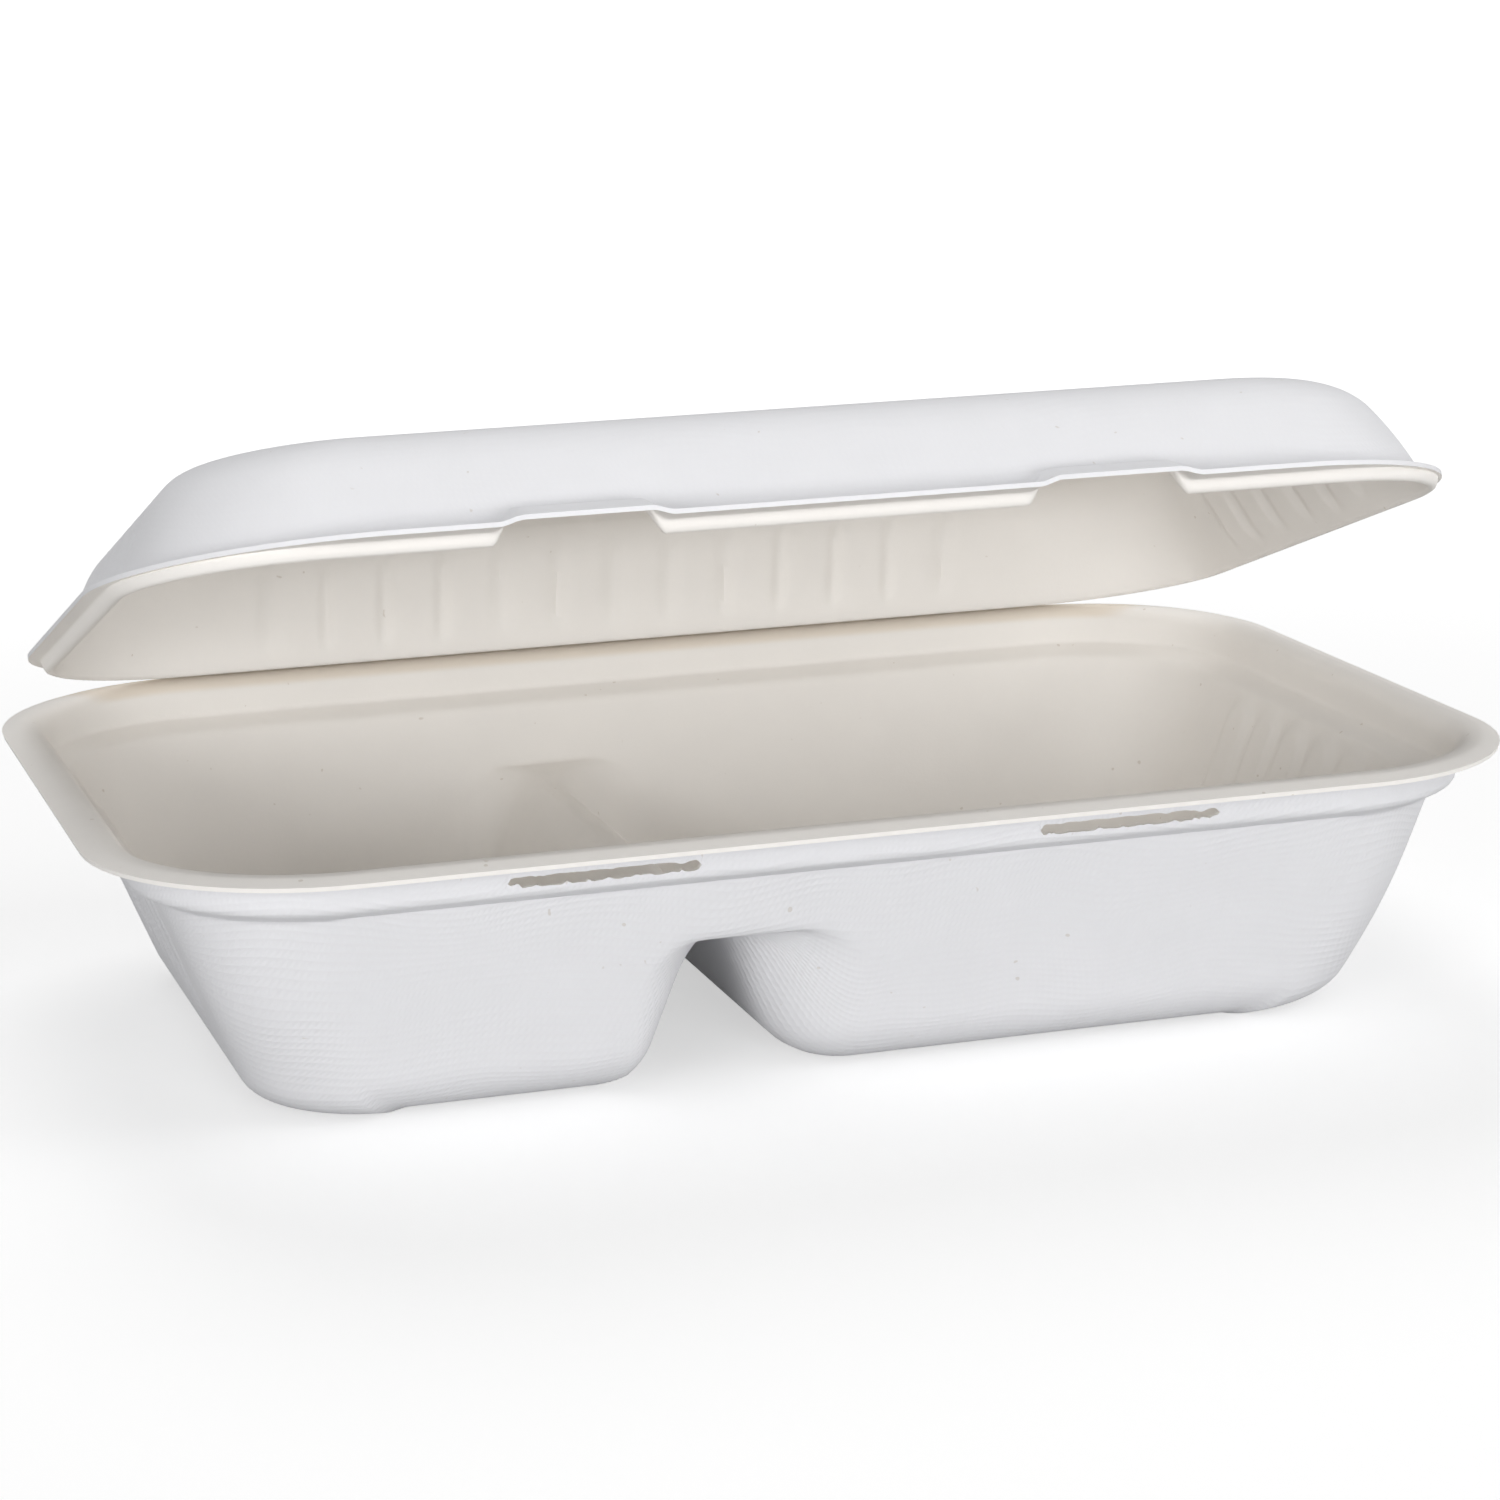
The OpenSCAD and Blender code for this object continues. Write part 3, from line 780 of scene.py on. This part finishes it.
def area_light(name, place, power):
    data = bpy.data.lights.new(name, "AREA")
    data.shape = "DISK"
    data.size = LAMP_SIZE
    data.energy = power
    lamp = bpy.data.objects.new(name, data)
    lamp.location = place
    lamp.visible_camera = False
    lamp.rotation_euler = (Vector(LAMP_TARGET) - Vector(place)).to_track_quat("-Z", "Y").to_euler()
    bpy.context.scene.collection.objects.link(lamp)


def seen_directly(nodes, links):
    """1 for the rays that show a surface itself: camera, glossy and transmission rays."""
    path = nodes.new("ShaderNodeLightPath")
    value = path.outputs["Is Camera Ray"]
    for name in ("Is Glossy Ray", "Is Transmission Ray"):
        larger = nodes.new("ShaderNodeMath")
        larger.operation = "MAXIMUM"
        links.new(value, larger.inputs[0])
        links.new(path.outputs[name], larger.inputs[1])
        value = larger.outputs[0]
    return value


def studio():
    """A white floor that keeps the box's shadow, soft lamps and a white surround."""
    mesh = bpy.data.meshes.new("floor")
    r = FLOOR_HALF
    mesh.from_pydata([(-r, -r, 0), (r, -r, 0), (r, r, 0), (-r, r, 0)], [], [(0, 1, 2, 3)])
    floor = bpy.data.objects.new("floor", mesh)
    bpy.context.scene.collection.objects.link(floor)
    mat = bpy.data.materials.new("floor")
    mat.use_nodes = True
    nodes, links = mat.node_tree.nodes, mat.node_tree.links
    nodes.clear()
    out = nodes.new("ShaderNodeOutputMaterial")
    matt = nodes.new("ShaderNodeBsdfDiffuse")
    matt.inputs["Color"].default_value = FLOOR_COLOUR
    glow = nodes.new("ShaderNodeEmission")
    place = nodes.new("ShaderNodeNewGeometry")
    reach = nodes.new("ShaderNodeVectorMath")
    reach.operation = "LENGTH"
    links.new(place.outputs["Position"], reach.inputs[0])
    far = nodes.new("ShaderNodeMapRange")
    far.interpolation_type = "SMOOTHSTEP"
    far.inputs["From Min"].default_value = WHITE_FROM
    far.inputs["From Max"].default_value = WHITE_TO
    far.inputs["To Min"].default_value = FLOOR_WHITE
    far.inputs["To Max"].default_value = 1
    links.new(reach.outputs["Value"], far.inputs["Value"])
    gain = nodes.new("ShaderNodeMath")
    gain.operation = "MULTIPLY"
    links.new(seen_directly(nodes, links), gain.inputs[0])
    links.new(far.outputs["Result"], gain.inputs[1])
    links.new(gain.outputs[0], glow.inputs["Strength"])
    both = nodes.new("ShaderNodeAddShader")
    links.new(matt.outputs[0], both.inputs[0])
    links.new(glow.outputs[0], both.inputs[1])
    links.new(both.outputs[0], out.inputs[0])
    mesh.materials.append(mat)

    world = bpy.data.worlds.new("studio")
    bpy.context.scene.world = world
    world.use_nodes = True
    nodes, links = world.node_tree.nodes, world.node_tree.links
    nodes.clear()
    out = nodes.new("ShaderNodeOutputWorld")
    back = nodes.new("ShaderNodeBackground")
    strength = nodes.new("ShaderNodeMath")
    strength.operation = "MULTIPLY_ADD"
    strength.inputs[1].default_value = 1 - WORLD_LIGHT
    strength.inputs[2].default_value = WORLD_LIGHT
    links.new(seen_directly(nodes, links), strength.inputs[0])
    links.new(strength.outputs[0], back.inputs["Strength"])
    links.new(back.outputs[0], out.inputs[0])

    for name, place, power in LAMPS:
        area_light(name, place, power)


def camera():
    """The photograph's view: from the front left, a little above the rim."""
    azimuth, elevation, roll = math.radians(-17.25), math.radians(13.11), math.radians(-1.26)
    distance = 739 * MM
    target = Vector((-0.3 * MM, 0, 44.26 * MM))
    focal_pixels, frame_pixels = 4096, 1500
    back = Vector((
        math.sin(azimuth) * math.cos(elevation),
        -math.cos(azimuth) * math.cos(elevation),
        math.sin(elevation),
    ))
    right = Vector((math.cos(azimuth), math.sin(azimuth), 0))
    up = back.cross(right)
    across = math.cos(roll) * right + math.sin(roll) * up
    upward = -math.sin(roll) * right + math.cos(roll) * up
    data = bpy.data.cameras.new("camera")
    data.sensor_width = 36
    data.lens = 36 * focal_pixels / frame_pixels
    data.shift_x = 0.0113
    data.clip_start = 0.01
    cam = bpy.data.objects.new("camera", data)
    axes = Matrix((across, upward, back)).transposed().to_4x4()
    cam.matrix_world = Matrix.Translation(target + back * distance) @ axes
    bpy.context.scene.collection.objects.link(cam)
    bpy.context.scene.camera = cam


build()
studio()
camera()
bpy.context.scene.view_settings.view_transform = "Standard"
